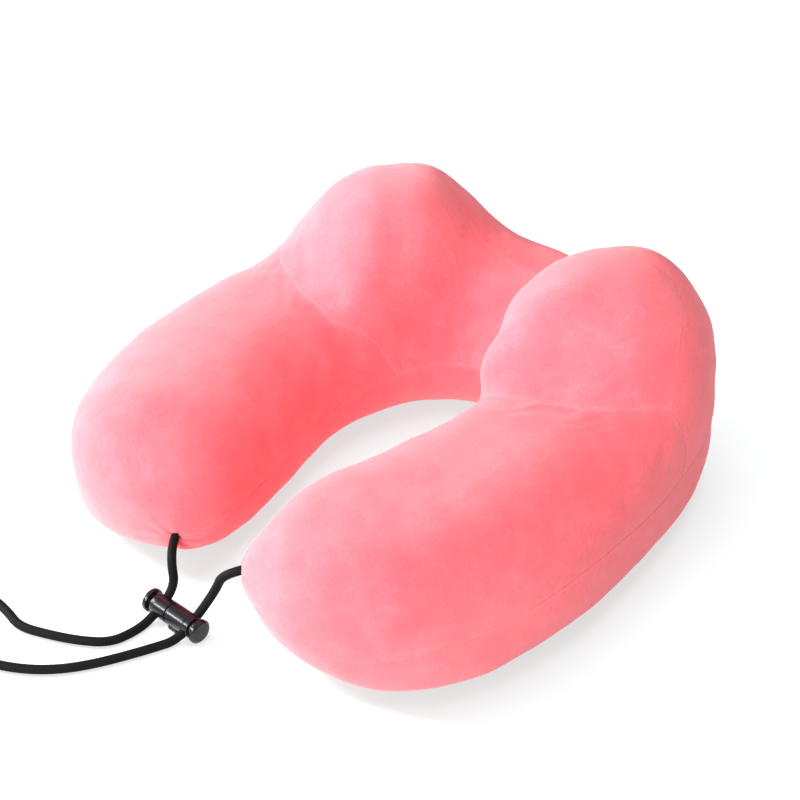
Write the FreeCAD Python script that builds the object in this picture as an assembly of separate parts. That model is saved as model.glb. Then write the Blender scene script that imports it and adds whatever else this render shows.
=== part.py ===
import FreeCAD, Part
import math
import os

from FreeCAD import Vector

# U shaped travel neck pillow: a foam core in a thin liner, a velour cover of five sewn panels that
# zips shut across the back, and one drawstring through a double-ended cord lock.
# Millimetres, +Z up, lying on z = 0, mirror symmetric about the YZ plane, opening towards -Y.

# ---- driving dimensions: plan of the pillow, right half, at the height of the perimeter seam ----
OUTER = [(0, 149), (56, 145), (110, 121), (138, 64), (147, -8), (138, -90), (92, -144.7)]
TIP = (25, -140)
INNER = [(18, -98), (27, -60), (36, -21), (37, 8), (30, 36), (17, 56), (0, 64)]
SPANS = len(OUTER)          # outline spans from the middle of the back to an arm tip

# ---- driving dimensions: heights and section shape, s = 0 at mid back and 1 at an arm tip ----
SEAM_Z = 36.0               # perimeter seam at the back
TIP_Z = 33.0                # perimeter seam where the drawstring comes out
TOP_BACK = 90.0             # top of the roll at mid back
TOP_TIP = 80.0              # top of the roll carried on to the arm tip
HUMP_RISE = 41.0            # the two head rests rise this far above the roll
HUMP_S = 0.30               # where a head rest is highest
HUMP_SPREAD = 0.15
HUMP_POWER = 3.5
UNDER_Z = -1.0              # the stuffed roll would reach this low; the underside is cut flat at 0
NOSE_SPAN = 0.21            # length of the rounded arm end
EDGE_POWER = {"top_out": 2.5, "top_in": 2.6, "under_in": 3.0, "under_out": 4.5}

# ---- driving dimensions: layers ----
COVER_T = 2.0
LINER_T = 0.5
LAYER_GAP = 0.4
TURN_GAP = 0.0040           # half the gap between two sewn edges, as a section angle
SEAM_STEP = 0.0006          # the same along the roll, as part of a station
COVER_END = 0.985           # the cover closes round the drawstring here
LINER_END = 0.94
CORE_END = 0.93
LAYER_FLAT = 0.6            # least share of a layer's thickness taken across a section

# ---- driving dimensions: seam lines on the cover, as (place, value) pairs ----
# Where an arm panel meets the head rest panels: (section angle in degrees, station).
ARM_SEAM = [
    (0, 0.46), (36, 0.452), (60, 0.487), (90, 0.512), (123, 0.508), (140, 0.475), (160, 0.40),
    (180, 0.32),
]
# Where the outer band meets the head rest panel: (station, section angle in degrees).
RIDGE_SEAM = [(0, 105), (0.08, 98), (0.16, 91), (0.265, 77), (0.325, 58), (0.40, 48), (0.46, 38)]
# Outer perimeter seam, which dips round the front of each arm: (station, section angle in degrees).
EDGE_SEAM = [
    (0, 0), (0.2, 0), (0.5, 6), (0.7, 6), (0.82, -4), (0.89, -26), (0.94, -28), (1.0, -5),
]

# ---- driving dimensions: zip across the back ----
ZIP_R = 370.0               # bend of the back, seen from above
ZIP_HALF_LENGTH = 58.0
ZIP_SLOT_HALF = 4.6
TAPE_T = 0.5
TAPE_HALF = 8.5
CHAIN_HALF = 1.9
CHAIN_T = 1.4
CHAIN_DEPTH = 1.1           # middle of the chain below the cover's face
TOOTH_PITCH = 2.0
TOOTH_W = 0.9
SLIDER_LENGTH = 9.0
SLIDER_HALF = 3.7
SLIDER_OUT = 0.9            # how far the slider stands out from the cover
ARCH_OUT = 3.3              # top of the arch that holds the pull tab
PIN_OUT = 1.75              # the pull tab's pivot
PIN_R = 0.55
TAB_LENGTH = 20.0
TAB_T = 1.0
TAB_HALF = 3.2

# ---- driving dimensions: drawstring and cord lock ----
CORD_R = 2.2
LOCK_AT = Vector(-5.5, -162.0, 6.1)
LOCK_TILT = 28.0            # the cord runs down through the lock at this angle
LOCK_HALF = 13.2
LOCK_R = 5.7
BORE_R = 4.2
STEM_R = 4.12
LATCH_AT = Vector(0.8, -4.2, -1.6)  # rib that houses the spring's catch, under the barrel
LATCH_R = 2.4
LATCH_LENGTH = 5.6
HOLE_AT = 10.3              # each cord hole's distance from the lock's middle
HOLE_R = 2.6
BUTTON_TRAVEL = 2.0
BUTTON_R = 6.1
BUTTON_T = 3.0
SPRING_SEAT = 2.4           # length of a plunger inboard of its cord slot
SPRING_WIRE_R = 0.35
SPRING_COIL_R = 2.9
SPRING_TURNS = 5
SLIDING_GAP = 0.1           # clearance round the cord in a plunger's slot

BACK_CENTRE = Vector(0, OUTER[0][1] - ZIP_R, 0)
NODES = {}


# ---------------------------------------------------------------- pillow surface
def outline_curve():
    """Closed plan outline through the driving points, one parameter unit per point."""
    half = OUTER + [TIP] + INNER
    ring = half + [(-x, y) for x, y in reversed(half[1:-1])]
    curve = Part.BSplineCurve()
    points = [Vector(x, y, 0) for x, y in ring]
    curve.interpolate(Points=points, PeriodicFlag=True, Parameters=list(range(len(ring) + 1)))
    return curve


OUTLINE = outline_curve()


def roll_top(s):
    rise = HUMP_RISE * math.exp(-abs((s - HUMP_S) / HUMP_SPREAD) ** HUMP_POWER)
    return TOP_BACK + (TOP_TIP - TOP_BACK) * s + rise


def smooth_through(pairs, x):
    """Value at x of a smooth line through the pairs, with a slope of no sharp change at each."""
    k = max(1, min(len(pairs) - 1, sum(1 for a, _ in pairs if a < x)))

    def slope(i):
        (x0, y0), (x1, y1) = pairs[max(i - 1, 0)], pairs[min(i + 1, len(pairs) - 1)]
        return (y1 - y0) / (x1 - x0)

    (x0, y0), (x1, y1) = pairs[k - 1], pairs[k]
    width = x1 - x0
    u = min(1.0, max(0.0, (x - x0) / width))
    start = y0 + slope(k - 1) * width * u
    end = y1 - slope(k) * width * (1 - u)
    share = u * u * (3 - 2 * u)
    return start * (1 - share) + end * share


def arm_seam(turn):
    return smooth_through(ARM_SEAM, math.degrees(turn))


def ridge_seam(s):
    return math.radians(smooth_through(RIDGE_SEAM, abs(s)))


def edge_seam(s):
    return math.radians(smooth_through(EDGE_SEAM, abs(s)))


def skin_point(s, turn):
    """Point of the cover's face at station s (-1 to 1) and section angle turn, 0 at the outer seam."""
    side = -1 if s < 0 else 1
    s = abs(s)
    out = OUTLINE.value(s * SPANS)
    inn = OUTLINE.value((2 - s) * SPANS)
    seam = SEAM_Z + (TIP_Z - SEAM_Z) * s * s
    nose = math.sin(math.pi / 2 * min(1.0, (1 - s) / NOSE_SPAN))
    c, d = math.cos(turn), math.sin(turn)
    power = EDGE_POWER[("top_" if d >= 0 else "under_") + ("out" if c >= 0 else "in")]
    power = 2 + (power - 2) * nose
    size = (abs(c) ** power + abs(d) ** power) ** (-1 / power)
    reach = (roll_top(s) - seam if d >= 0 else seam - UNDER_Z) * nose
    flat = (out + inn) / 2 + (out - inn) / 2 * (size * c)
    return Vector(side * flat.x, flat.y, seam + reach * size * d)


def layer_point(s, turn, depth):
    """Point under skin_point, measured in the section's own plane, so that layers nest."""
    at = skin_point(s, turn)
    if depth == 0:
        return at
    step = 1e-3
    along = skin_point(s + step, turn) - skin_point(s - step, turn)
    around = skin_point(s, turn + step) - skin_point(s, turn - step)
    normal = around.cross(along)
    normal.normalize()
    across = skin_point(s, 0) - skin_point(s, math.pi)
    across.normalize()
    flat = across * normal.dot(across) + Vector(0, 0, normal.z)
    share = flat.Length
    flat.normalize()
    if flat.dot(at - section_middle(s)) < 0:
        flat = flat * -1
    least = LAYER_FLAT if abs(s) < COVER_END - 0.02 else 1.0
    return at - flat * (depth / max(share, least))


def section_middle(s):
    return (skin_point(s, 0) + skin_point(s, math.pi)) / 2


def arc_edge(station, start, end, depth, count):
    """Edge round a section; station gives s at each angle, so that a seam may run slantwise."""
    turns = [start + (end - start) * k / (count - 1) for k in range(count)]
    curve = Part.BSplineCurve()
    points = [layer_point(station(turn), turn, depth) for turn in turns]
    curve.interpolate(Points=points, Parameters=[float(k) for k in range(count)])
    return curve.toShape()


def stations(start, end):
    """Loft stations: even along the roll and closer together on the rounded arm ends."""
    steps = [k * 0.05 for k in range(17)] + [0.84, 0.88, 0.91, 0.935, 0.955, 0.97]
    both = sorted({-k for k in steps} | set(steps))
    inside = [k for k in both if start + 0.012 < k < end - 0.012]
    return [start] + inside + [end]


def closed_roll(depth, end):
    wires = []
    for s in stations(-end, end):
        top = arc_edge(lambda turn: s, 0, math.pi, depth, 17)
        under = arc_edge(lambda turn: s, math.pi, 2 * math.pi, depth, 17)
        wires.append(Part.Wire([top, under]))
    return Part.makeLoft(wires, True)


def panel(rows, count):
    """One sewn cover panel; each row is (station function, first angle, last angle)."""
    wires, faces, linings = [], [], []
    for station, turn_a, turn_b in rows:
        face = arc_edge(station, turn_a, turn_b, 0, count)
        lining = arc_edge(station, turn_a, turn_b, COVER_T, count)
        a = Part.makeLine(lining.Vertexes[0].Point, face.Vertexes[0].Point)
        b = Part.makeLine(face.Vertexes[-1].Point, lining.Vertexes[-1].Point)
        wires.append(Part.Wire([a, face, b, lining]))
        faces.append(face)
        linings.append(lining)
    sides = Part.makeLoft(wires, False).Faces
    ends = [Part.makeRuledSurface(faces[k], linings[k], 1) for k in (0, -1)]
    shell = Part.makeShell(sides + ends)
    shell.sewShape()
    return Part.makeSolid(shell)


def arm_rows():
    rows = []
    first = 0.46
    for place in stations(first, COVER_END):
        share = (place - first) / (COVER_END - first)

        def station(turn, share=share):
            seam = arm_seam(turn) + SEAM_STEP
            return seam + (COVER_END - seam) * share

        low = edge_seam(station(0.0)) + TURN_GAP
        rows.append((station, low, math.pi - TURN_GAP))
    return rows


def head_rows(outer):
    rows = []
    steps = 24
    for k in range(-steps, steps + 1):
        share = k / steps

        def station(turn, share=share):
            return share * (arm_seam(turn) - SEAM_STEP)

        ridge = ridge_seam(station(math.pi / 4))
        if outer:
            rows.append((station, edge_seam(station(0.0)) + TURN_GAP, ridge - TURN_GAP))
        else:
            rows.append((station, ridge + TURN_GAP, math.pi - TURN_GAP))
    return rows


def under_rows():
    last = 2 * math.pi - TURN_GAP
    places = stations(-COVER_END, COVER_END)
    return [(lambda turn, s=s: s, math.pi + TURN_GAP, last + edge_seam(s)) for s in places]


def make_pillow():
    arm = panel(arm_rows(), 17)
    NODES["arm_panel_right"] = arm
    NODES["arm_panel_left"] = arm.mirror(Vector(0, 0, 0), Vector(1, 0, 0))
    NODES["head_rest_inner_panel"] = panel(head_rows(False), 11)
    NODES["outer_band_panel"] = panel(head_rows(True), 9)
    block = Part.makeBox(400, 400, 200, Vector(-200, -200, 0))
    NODES["bottom_panel"] = panel(under_rows(), 17).common(block)
    liner_depth = COVER_T + LAYER_GAP
    core_depth = liner_depth + LINER_T + LAYER_GAP
    hollow = closed_roll(liner_depth + LINER_T, LINER_END - 0.002)
    NODES["inner_liner"] = closed_roll(liner_depth, LINER_END).cut(hollow)
    NODES["foam_core"] = closed_roll(core_depth, CORE_END)


# ---------------------------------------------------------------- zip
def arc_strip(r_in, r_out, z_low, z_high, half_angle):
    """Strip that follows the back, between two radii and two heights about the perimeter seam."""
    corners = [
        Vector(r_in, 0, SEAM_Z + z_low), Vector(r_out, 0, SEAM_Z + z_low),
        Vector(r_out, 0, SEAM_Z + z_high), Vector(r_in, 0, SEAM_Z + z_high),
    ]
    face = Part.Face(Part.makePolygon(corners + corners[:1]))
    strip = face.revolve(Vector(0, 0, 0), Vector(0, 0, 1), 2 * half_angle)
    strip.rotate(Vector(0, 0, 0), Vector(0, 0, 1), 90 - half_angle)
    strip.translate(BACK_CENTRE)
    return strip


def arc_degrees(length):
    return math.degrees(length / ZIP_R)


def on_back(shape, degrees):
    """Takes a piece built at mid back round the bend, towards +X for positive degrees."""
    moved = shape.copy()
    moved.rotate(BACK_CENTRE, Vector(0, 0, 1), -degrees)
    return moved


def back_box(length, out_low, out_high, z_low, z_high):
    """Box at mid back: length along the zip, out from the cover's face, height about the seam."""
    y = BACK_CENTRE.y + ZIP_R
    corner = Vector(-length / 2, y + out_low, SEAM_Z + z_low)
    return Part.makeBox(length, out_high - out_low, z_high - z_low, corner)


def zip_chain(side, chain_end):
    """Moulded teeth on one spine; the two chains mesh half a pitch apart."""
    low, high = CHAIN_HALF - 0.9, CHAIN_HALF
    r_in = ZIP_R - CHAIN_DEPTH - CHAIN_T / 2
    r_out = r_in + CHAIN_T
    spine = arc_strip(r_in, r_out, *sorted((side * low, side * high)), chain_end)
    tips = sorted((side * high, -side * (low - 0.1)))
    tooth = back_box(TOOTH_W, r_in - ZIP_R + 0.1, r_out - ZIP_R - 0.1, *tips)
    count = int(2 * ZIP_R * math.radians(chain_end) / TOOTH_PITCH) - 1
    first = -arc_degrees(TOOTH_PITCH * (count - 1) / 2) + arc_degrees(side * TOOTH_PITCH / 4)
    teeth = [on_back(tooth, first + arc_degrees(TOOTH_PITCH) * k) for k in range(count)]
    return spine.fuse(teeth).removeSplitter()


def make_zip():
    slot_half = arc_degrees(ZIP_HALF_LENGTH)
    tape_end = slot_half - arc_degrees(0.2)
    chain_end = slot_half - arc_degrees(2.0)
    slot = arc_strip(ZIP_R - 4, ZIP_R + 4, -ZIP_SLOT_HALF, ZIP_SLOT_HALF, slot_half)
    tape_in = ZIP_R - CHAIN_DEPTH - TAPE_T / 2
    tapes = {
        "zip_tape_upper": arc_strip(tape_in, tape_in + TAPE_T, CHAIN_HALF, TAPE_HALF, tape_end),
        "zip_tape_lower": arc_strip(tape_in, tape_in + TAPE_T, -TAPE_HALF, -CHAIN_HALF, tape_end),
    }
    for cover, tape in (("outer_band_panel", "zip_tape_upper"), ("bottom_panel", "zip_tape_lower")):
        NODES[cover] = NODES[cover].cut(slot).cut(tapes[tape])
        NODES[tape] = tapes[tape]
    NODES["zip_chain_upper"] = zip_chain(1, chain_end)
    NODES["zip_chain_lower"] = zip_chain(-1, chain_end)
    stop = back_box(1.4, -CHAIN_DEPTH - 0.8, -0.3, -CHAIN_HALF - 0.6, CHAIN_HALF + 0.6)
    clear = back_box(1.4, -CHAIN_DEPTH - TAPE_T / 2, -CHAIN_DEPTH + TAPE_T / 2, CHAIN_HALF, 9)
    stop = stop.cut([clear, clear.mirror(Vector(0, 0, SEAM_Z), Vector(0, 0, 1))])
    stop_at = slot_half - arc_degrees(1.1)
    NODES["zip_top_stop"] = on_back(stop, stop_at)
    NODES["zip_bottom_stop"] = on_back(stop, -stop_at)
    park = slot_half - arc_degrees(SLIDER_LENGTH / 2 + 2.6)
    NODES["zip_slider"] = on_back(zip_slider(), park)
    NODES["zip_pull_tab"] = on_back(zip_pull(), park)
    pin = on_back(Part.Vertex(0, OUTER[0][1] + PIN_OUT, SEAM_Z), park).Point
    print("zip slider travel", round(2 * park, 2), "deg about", tuple(BACK_CENTRE))
    print("pull tab pin", tuple(round(v, 3) for v in pin))


def zip_slider():
    """Slider cap that straddles the closed chain, with the arch that holds the pull tab."""
    tape_top = -CHAIN_DEPTH + TAPE_T / 2
    body = back_box(SLIDER_LENGTH, tape_top + 0.2, SLIDER_OUT, -SLIDER_HALF, SLIDER_HALF)
    ends = [e for e in body.Edges if abs(e.tangentAt(e.FirstParameter).y) > 0.9]
    body = body.makeFillet(1.6, ends)
    room = CHAIN_HALF + 0.5
    channel = back_box(SLIDER_LENGTH + 2, tape_top - 1, -0.3, -room, room)
    arch = back_box(6.0, SLIDER_OUT - 0.1, ARCH_OUT, -0.8, 0.8)
    crown = OUTER[0][1] + ARCH_OUT - 0.1
    corners = [e for e in arch.Edges if abs(e.tangentAt(0).z) > 0.9 and e.CenterOfMass.y > crown]
    arch = arch.makeFillet(1.2, corners)
    window = back_box(4.0, SLIDER_OUT, ARCH_OUT - 0.7, -2, 2)
    return body.cut(channel).fuse(arch.cut(window)).removeSplitter()


def zip_pull():
    """Pull tab that lies back along the zip; its cross bar turns under the slider's arch."""
    y = OUTER[0][1] + PIN_OUT
    heel = TAB_T / 2        # the tab ends this far past its pivot, so it clears the slider as it turns
    bar = Part.makeCylinder(PIN_R, 5.4, Vector(0, y, SEAM_Z - 2.7), Vector(0, 0, 1))
    plate = back_box(TAB_LENGTH, PIN_OUT - TAB_T / 2, PIN_OUT + TAB_T / 2, -TAB_HALF, TAB_HALF)
    plate.translate(Vector(heel - TAB_LENGTH / 2, 0, 0))
    outer_end = [e for e in plate.Edges if abs(e.tangentAt(0).y) > 0.9 and e.CenterOfMass.x < -5]
    plate = plate.makeFillet(2.2, outer_end)
    window = back_box(6.6, 0, 4, -1.5, 1.5)
    window.translate(Vector(-1.2, 0, 0))
    grip = Part.makeCylinder(1.5, 6, Vector(-TAB_LENGTH + 4.0, y - 3, SEAM_Z), Vector(0, 1, 0))
    return plate.cut([window, grip]).fuse(bar).removeSplitter()


# ---------------------------------------------------------------- cord lock
def place_lock(shape):
    moved = shape.copy()
    moved.rotate(Vector(0, 0, 0), Vector(1, 0, 0), LOCK_TILT)
    moved.translate(LOCK_AT)
    return moved


def lathe_x(profile):
    """Solid of revolution about the X axis from (x, radius) corners that start and end on it."""
    corners = [Vector(x, r, 0) for x, r in profile]
    face = Part.Face(Part.makePolygon(corners + corners[:1]))
    return face.revolve(Vector(0, 0, 0), Vector(1, 0, 0), 360)


def lock_barrel():
    r, h = LOCK_R, LOCK_HALF
    body = lathe_x([
        (-h, 0), (-h, r - 0.7), (-h + 0.7, r), (-1.5, r), (-1.2, r - 0.35), (-0.8, r - 0.35),
        (-0.5, r), (h - 0.7, r), (h, r - 0.7), (h, 0),
    ])
    latch = Part.makeCylinder(LATCH_R, LATCH_LENGTH, LATCH_AT, Vector(1, 0, 0))
    latch = latch.makeFillet(0.5, latch.Edges[0:1] + latch.Edges[2:3])
    body = body.fuse(latch)
    bore = Part.makeCylinder(BORE_R, 2 * h + 2, Vector(-h - 1, 0, 0), Vector(1, 0, 0))
    holes = [
        Part.makeCylinder(HOLE_R, 30, Vector(x, -15, 0), Vector(0, 1, 0))
        for x in (-HOLE_AT, HOLE_AT)
    ]
    return body.cut([bore] + holes).removeSplitter()


def lock_button(side):
    """Plunger with a domed cap; its slot nips the cord at rest and frees it when pressed in."""
    slot_half = CORD_R + SLIDING_GAP
    inner = HOLE_AT - slot_half
    outer = HOLE_AT + slot_half + BUTTON_TRAVEL
    seat = inner - SPRING_SEAT
    neck = LOCK_HALF + 0.2 + BUTTON_TRAVEL
    end = neck + BUTTON_T
    piece = lathe_x([
        (seat, 0), (seat, STEM_R - 0.4), (seat + 0.4, STEM_R), (neck, STEM_R),
        (neck, BUTTON_R - 0.3), (neck + 0.4, BUTTON_R), (end - 1.1, BUTTON_R),
        (end - 0.4, BUTTON_R - 0.5), (end, BUTTON_R - 1.6), (end, 0),
    ])
    mid = (inner + outer) / 2
    half = (outer - inner) / 2 - CORD_R
    slot = Part.makeBox(2 * half, 20, 2 * slot_half, Vector(mid - half, -10, -slot_half))
    rounds = [
        Part.makeCylinder(slot_half, 20, Vector(x, -10, 0), Vector(0, 1, 0))
        for x in (mid - half, mid + half)
    ]
    piece = piece.cut([slot] + rounds)
    if side < 0:
        piece = piece.mirror(Vector(0, 0, 0), Vector(1, 0, 0))
    return piece


def lock_spring():
    """Compression spring between the two plungers, drawn as its open coils."""
    seat = HOLE_AT - CORD_R - SLIDING_GAP - SPRING_SEAT
    length = 2 * (seat - SPRING_WIRE_R - 0.05)
    helix = Part.makeHelix(length / SPRING_TURNS, length, SPRING_COIL_R)
    start = Vector(SPRING_COIL_R, 0, 0)
    profile = Part.Wire(Part.makeCircle(SPRING_WIRE_R, start, Vector(0, 1, 0)))
    coil = Part.Wire(helix).makePipeShell([profile], True, True)
    coil.rotate(Vector(0, 0, 0), Vector(0, 1, 0), 90)
    coil.translate(Vector(-length / 2, 0, 0))
    return coil


def make_lock():
    NODES["cord_lock_barrel"] = place_lock(lock_barrel())
    NODES["cord_lock_button_left"] = place_lock(lock_button(-1))
    NODES["cord_lock_button_right"] = place_lock(lock_button(1))
    NODES["cord_lock_spring"] = place_lock(lock_spring())


# ---------------------------------------------------------------- drawstring
def hole_point(side, along):
    """Point on a cord hole's axis, along millimetres past the lock's middle."""
    tilt = math.radians(LOCK_TILT)
    down_run = Vector(0, -math.cos(tilt), -math.sin(tilt))
    return LOCK_AT + Vector(side * HOLE_AT, 0, 0) + down_run * along


def cord_route():
    """Left arm tip, lock, loop on the table, lock, right arm tip."""
    floor = CORD_R + 0.1
    left_drop = [(-28.4, -134.4, 33.4), (-23.3, -142.5, 33.0), (-17.5, -150.2, 24.0)]
    loop = [
        (-15.2, -181), (-18.5, -193), (-31, -202), (-45.5, -209), (-60, -214.5), (-73, -211.5),
        (-88, -210.5), (-101, -213), (-110, -222), (-111, -234), (-102, -243), (-88, -246),
        (-73, -244.5), (-58.5, -241.5), (-44.5, -236.5), (-31.5, -228.5), (-21, -218.5),
        (-13, -207), (-6.5, -195), (-0.5, -182.5),
    ]
    right_rise = [
        (8.5, -145.0, 18.5), (16.0, -145.2, 25.5), (23.3, -142.5, 32.5), (28.4, -134.4, 33.4),
    ]
    points = [Vector(*p) for p in left_drop]
    points += [hole_point(-1, -11.0), hole_point(-1, 8.5)]
    points += [Vector(x, y, floor) for x, y in loop]
    points += [hole_point(1, 8.5), hole_point(1, -11.0)]
    return points + [Vector(*p) for p in right_rise]


def make_cord():
    route = cord_route()
    runs = [b - a for a, b in zip(route, route[1:])]
    edges, radii = [], []
    start = route[0]
    for before, after, corner in zip(runs, runs[1:], route[1:]):
        turn = before.getAngle(after)
        cut = 0.45 * min(before.Length, after.Length)
        a = corner - Vector(before).normalize() * cut
        b = corner + Vector(after).normalize() * cut
        radius = cut / math.tan(turn / 2)
        radii.append(radius)
        inward = (a + b) / 2 - corner
        middle = corner + Vector(inward).normalize() * (radius / math.cos(turn / 2) - radius)
        edges.append(Part.LineSegment(start, a).toShape())
        edges.append(Part.Arc(a, middle, b).toShape())
        start = b
    edges.append(Part.LineSegment(start, route[-1]).toShape())
    path = Part.Wire(edges)
    profile = Part.Wire(Part.makeCircle(CORD_R, route[0], runs[0]))
    tube = path.makePipeShell([profile], True, False)
    NODES["drawstring_cord"] = tube
    expected = math.pi * CORD_R ** 2 * path.Length
    print("cord length", round(path.Length, 1))
    print("smallest radii", [round(r, 1) for r in sorted(radii)[:6]])
    print("cord volume / section x length", round(tube.Volume / expected, 4))
    for side, name in ((-1, "left"), (1, "right")):
        end = route[0] if side < 0 else route[-1]
        into = runs[0] if side < 0 else runs[-1] * -1
        band = Part.makeCylinder(CORD_R + 0.8, 3.0, end + Vector(into).normalize() * 1.0, into)
        core = Part.makeCylinder(CORD_R, 5.0, end, into)
        NODES["cord_bar_tack_" + name] = band.cut(core)


def export_all():
    os.makedirs("parts", exist_ok=True)
    box = FreeCAD.BoundBox()
    on_cord = ("drawstring_cord", "cord_lock")
    for name, shape in NODES.items():
        solids = shape.Solids
        shape = solids[0] if len(solids) == 1 else Part.makeCompound(solids)
        print(name, len(solids), "valid", shape.isValid(), "volume", round(shape.Volume, 1))
        shape.exportStep("parts/" + name + ".step")
        if not name.startswith(on_cord):
            box.add(shape.BoundBox)
    print("box without the cord", box)


make_pillow()
make_zip()
make_lock()
make_cord()
export_all()
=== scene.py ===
import math

import bpy
import numpy as np
from mathutils import Matrix, Vector


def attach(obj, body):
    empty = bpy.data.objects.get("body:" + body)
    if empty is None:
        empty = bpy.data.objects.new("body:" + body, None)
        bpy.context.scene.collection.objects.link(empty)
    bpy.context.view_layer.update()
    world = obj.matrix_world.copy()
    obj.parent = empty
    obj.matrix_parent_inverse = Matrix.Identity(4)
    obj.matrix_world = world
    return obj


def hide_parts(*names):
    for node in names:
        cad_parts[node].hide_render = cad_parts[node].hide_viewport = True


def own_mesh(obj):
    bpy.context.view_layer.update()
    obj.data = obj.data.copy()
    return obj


# Looks of a U shaped travel neck pillow: a sewn velour cover over foam, a braided drawstring and a
# glossy cord lock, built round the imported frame. The frame is in metres. The cover's shape is worked
# out in millimetres, which is the unit of every length below whose name doesn't end in _M.

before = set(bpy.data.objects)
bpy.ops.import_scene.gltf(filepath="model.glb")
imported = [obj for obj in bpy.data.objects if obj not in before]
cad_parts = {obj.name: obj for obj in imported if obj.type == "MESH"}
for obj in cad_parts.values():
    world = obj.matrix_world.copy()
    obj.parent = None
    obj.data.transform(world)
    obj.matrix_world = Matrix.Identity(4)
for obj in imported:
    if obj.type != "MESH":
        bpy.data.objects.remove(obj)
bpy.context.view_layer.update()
MM = 0.001

# ---- camera ----
VIEW_AZIMUTH = 41.34
VIEW_ELEVATION = 35.27
VIEW_DISTANCE_M = 0.8141
VIEW_TARGET_M = Vector((0.0, -0.018, 0.050))
VIEW_SHIFT_M = (0.00914, 0.00787)       # the target moved right and up in the picture's plane
LENS = 70.28
SENSOR = 36.0

# ---- plan of the pillow, right half, at the height of the perimeter seam ----
OUTER = [(0, 149), (56, 145), (110, 121), (138, 64), (147, -8), (138, -90), (92, -144.7)]
TIP = (25, -140)
INNER = [(18, -98), (27, -60), (36, -21), (37, 8), (30, 36), (17, 56), (0, 64)]
SPANS = len(OUTER)

# ---- heights and section shape, station 0 at mid back and 1 at an arm tip ----
SEAM_Z = 36.0
TIP_Z = 33.0
TOP_BACK = 90.0
TOP_TIP = 80.0
HUMP_RISE = 41.0
HUMP_S = 0.30
HUMP_SPREAD = 0.15
HUMP_POWER = 3.5
UNDER_Z = -1.0
NOSE_SPAN = 0.21
POWER_TOP_OUT, POWER_TOP_IN = 2.5, 2.6
POWER_UNDER_IN, POWER_UNDER_OUT = 3.0, 4.5

# ---- seam lines, as (place, value) pairs ----
ARM_SEAM = [(0, 0.46), (36, 0.452), (60, 0.487), (90, 0.512), (123, 0.508), (140, 0.475),
            (160, 0.40), (180, 0.32)]
RIDGE_SEAM = [(0, 105), (0.08, 98), (0.16, 91), (0.265, 77), (0.325, 58), (0.40, 48), (0.46, 38)]
EDGE_SEAM = [(0, 0), (0.2, 0), (0.5, 6), (0.7, 6), (0.82, -4), (0.89, -26), (0.94, -28), (1.0, -5)]

# ---- cover ----
COVER_T = 2.0
TIP_END = 0.9975            # the station at which the panels close round the drawstring
SEAM_ROUND = 0.2            # radius of the fold where a panel turns into its seam
SEAM_DIP = 0.30             # how far a seam draws the cover in
SEAM_DIP_W = 8.0
SEAM_SHEEN_W = 1.6           # width of the paler band painted along a seam: painted sheen where the cover curves into it
PUCKERS = (3.1, 4.3, 5.9, 8.3, 12.0)    # lengths of the waves that a seam's stitches draw
PUCKER_HEIGHT = 0.022
PUCKER_REACH = 2.2          # distance from a seam at which its puckers are highest
PUCKER_PATCH = 61.0         # the puckers come and go over this length
UNEVEN = [                  # (height, feature length, waves, seed, distance from a seam to grow over)
    (0.55, 60.0, 9, 5, 12),
    (0.16, 17.0, 12, 6, 6),
    (0.05, 5.0, 16, 7, None),
]
ZIP_HALF_LENGTH = 58.0
ZIP_GAP = 4.4               # the cover stands this far back from the middle of the zip
ZIP_CLEAR = 0.3             # the opening runs this far past the zip's end
ZIP_CLOSE = 3.0             # length over which the opening closes
EDGE_CELL = 0.35            # panel grid: cell size beside a seam, and its growth away from it
EDGE_GROWTH = 1.22

PUFF_CELL = 5.0             # spacing of the threads in the cloth simulation
PUFF_CAP = 0.9              # how far the simulation may carry the cover out
PUFF_FRAMES = 20

CORD_EXITS = [(-26.5, -141.3, 30.0), (22.8, -142.0, 39.0)]
GATHER_FOLDS = 8            # folds that run out from each of the drawstring's exits
GATHER_HEIGHT = 0.22
GATHER_REACH = 5.5
GATHER_DIP = 0.6            # how far the drawstring draws the cover in at an exit
GATHER_DIP_W = 4.5

LINER_DEPTH = 4.8           # the liner and the foam lie this far inside the cover's face
FOAM_DEPTH = 5.6
LINER_END = 0.965           # the stations at which they close at the arm tips
FOAM_END = 0.955
LAYER_ROWS = 165            # rings from tip to tip, and points round each
LAYER_COLUMNS = 105

# ---- how the stuffing has settled: (place, move, reach), and True where both sides do it ----
SETTLED = [
    ((25, -140, 33), (-2.5, -2.0, 5.5), 16, False),
    ((-25, -140, 33), (-1.5, -1.3, -3.0), 14, False),
    ((48, -146, 20), (-0.9, -2.7, -2.0), 28, False),
    ((112, 108, 85), (1.4, 1.5, 0.6), 45, False),
    ((126, 95, 25), (1.3, 1.2, 0.0), 30, False),
    ((-115, 60, 105), (-1.3, -0.4, 0.8), 30, False),
    ((-64, 117, 112), (-0.4, -1.1, -0.8), 22, False),
    ((-38, 129, 88), (-0.7, 0.8, 1.5), 28, False),
    ((-126, -95, 66), (1.4, 0.3, -1.0), 35, False),
    ((-107, -136, 40), (-1.7, -1.5, 0.0), 30, False),
    ((-128, 30, 80), (0.3, -0.3, -0.7), 22, False),
    ((42, 6, 66), (4.6, 1.2, -1.0), 13, True),
    ((40, 20, 84), (-2.8, -0.8, 0.0), 20, True),
    ((33, 48, 98), (-3.5, -3.0, 0.0), 18, True),
]

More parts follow.
